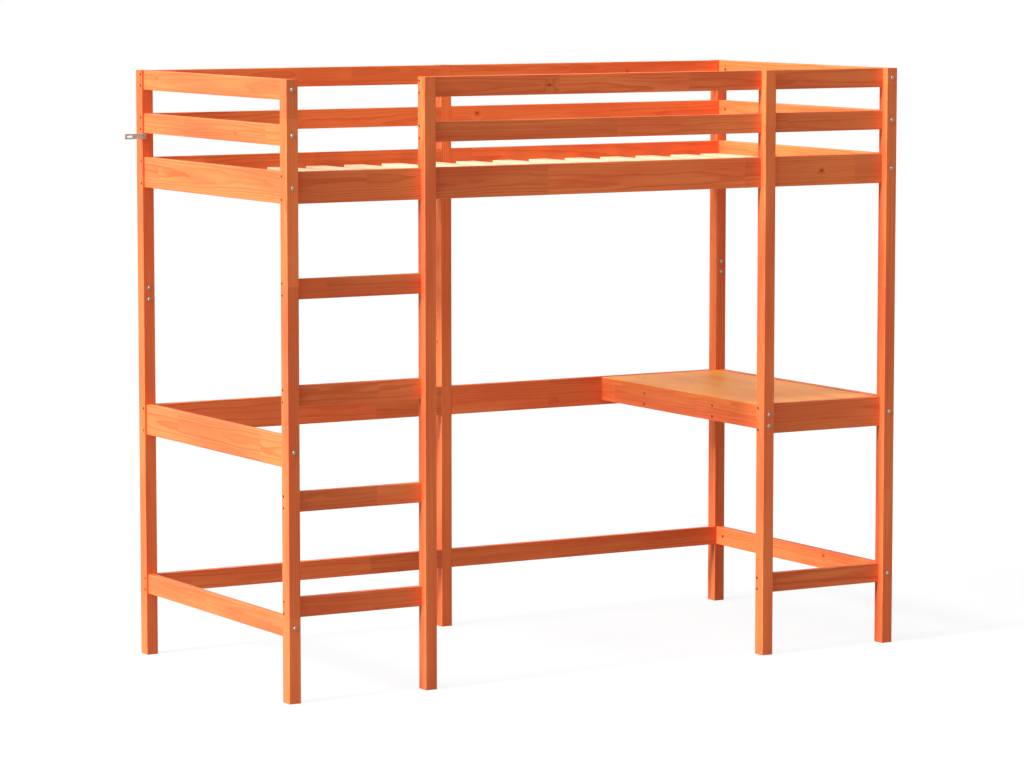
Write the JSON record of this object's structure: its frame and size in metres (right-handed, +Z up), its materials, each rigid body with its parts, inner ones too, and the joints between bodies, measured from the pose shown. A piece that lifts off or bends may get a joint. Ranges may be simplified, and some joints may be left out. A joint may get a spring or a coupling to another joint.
{
  "type": "loft bed with desk",
  "caption": "Wooden single loft bed with guard rails, a slatted deck, a front ladder at one end and a small desk built in under the other end.",
  "frame": {"origin": "on the floor, at the middle of the outline of the whole bed with its wall strap and bolt heads", "axes": "+X along the bed from the ladder end to the desk end, +Y from the open front to the back, +Z up"},
  "size_m": [2.129, 0.988, 1.757],
  "materials": {
    "frame_pine": "satin, warm brown stained pine",
    "desk_board": "satin, warm pine board",
    "slat_pine": "untreated pale pine",
    "dowel_wood": "untreated beech",
    "zinc_fixing": "zinc plated",
    "bronzed_screw": "bronze plated",
    "galvanised_strap": "galvanised, dull"
  },
  "bodies": {
    "root": {"back_bed_rail_left": "frame_pine", "back_bed_rail_right": "frame_pine", "back_bottom_rail_left": "frame_pine", "back_bottom_rail_right": "frame_pine", "back_guard_rail_left": "frame_pine", "back_guard_rail_right": "frame_pine", "back_middle_rail_left": "frame_pine", "back_middle_rail_right": "frame_pine", "back_top_rail_left": "frame_pine", "back_top_rail_right": "frame_pine", "bed_slats": "slat_pine", "cross_nuts": "zinc_fixing", "desk_apron": "frame_pine", "desk_screws": "bronzed_screw", "desk_support_back": "frame_pine", "desk_support_front": "frame_pine", "desk_top": "desk_board", "frame_bolts": "zinc_fixing", "front_bed_rail_centre": "frame_pine", "front_bed_rail_desk": "frame_pine", "front_bed_rail_ladder": "frame_pine", "front_bottom_rail_desk": "frame_pine", "front_guard_rail_centre": "frame_pine", "front_guard_rail_desk": "frame_pine", "front_middle_rail_desk": "frame_pine", "front_top_rail_centre": "frame_pine", "front_top_rail_desk": "frame_pine", "ladder_rung_1": "frame_pine", "ladder_rung_2": "frame_pine", "ladder_rung_3": "frame_pine", "ladder_rung_4": "frame_pine", "ledger_screws": "zinc_fixing", "left_bed_rail": "frame_pine", "left_bottom_rail": "frame_pine", "left_guard_rail": "frame_pine", "left_middle_rail": "frame_pine", "left_top_rail": "frame_pine", "post_back_left": "frame_pine", "post_back_middle": "frame_pine", "post_back_right": "frame_pine", "post_bolts": "zinc_fixing", "post_desk_left": "frame_pine", "post_front_left": "frame_pine", "post_front_right": "frame_pine", "post_ladder_right": "frame_pine", "rail_dowels": "dowel_wood", "rail_screws": "bronzed_screw", "right_bed_rail": "frame_pine", "right_bottom_rail": "frame_pine", "right_guard_rail": "frame_pine", "right_middle_rail": "frame_pine", "right_top_rail": "frame_pine", "slat_ledger_back": "slat_pine", "slat_ledger_front": "slat_pine", "slat_screws": "zinc_fixing", "wall_strap": "galvanised_strap", "wall_strap_screw": "zinc_fixing"}
  },
  "joints": []
}
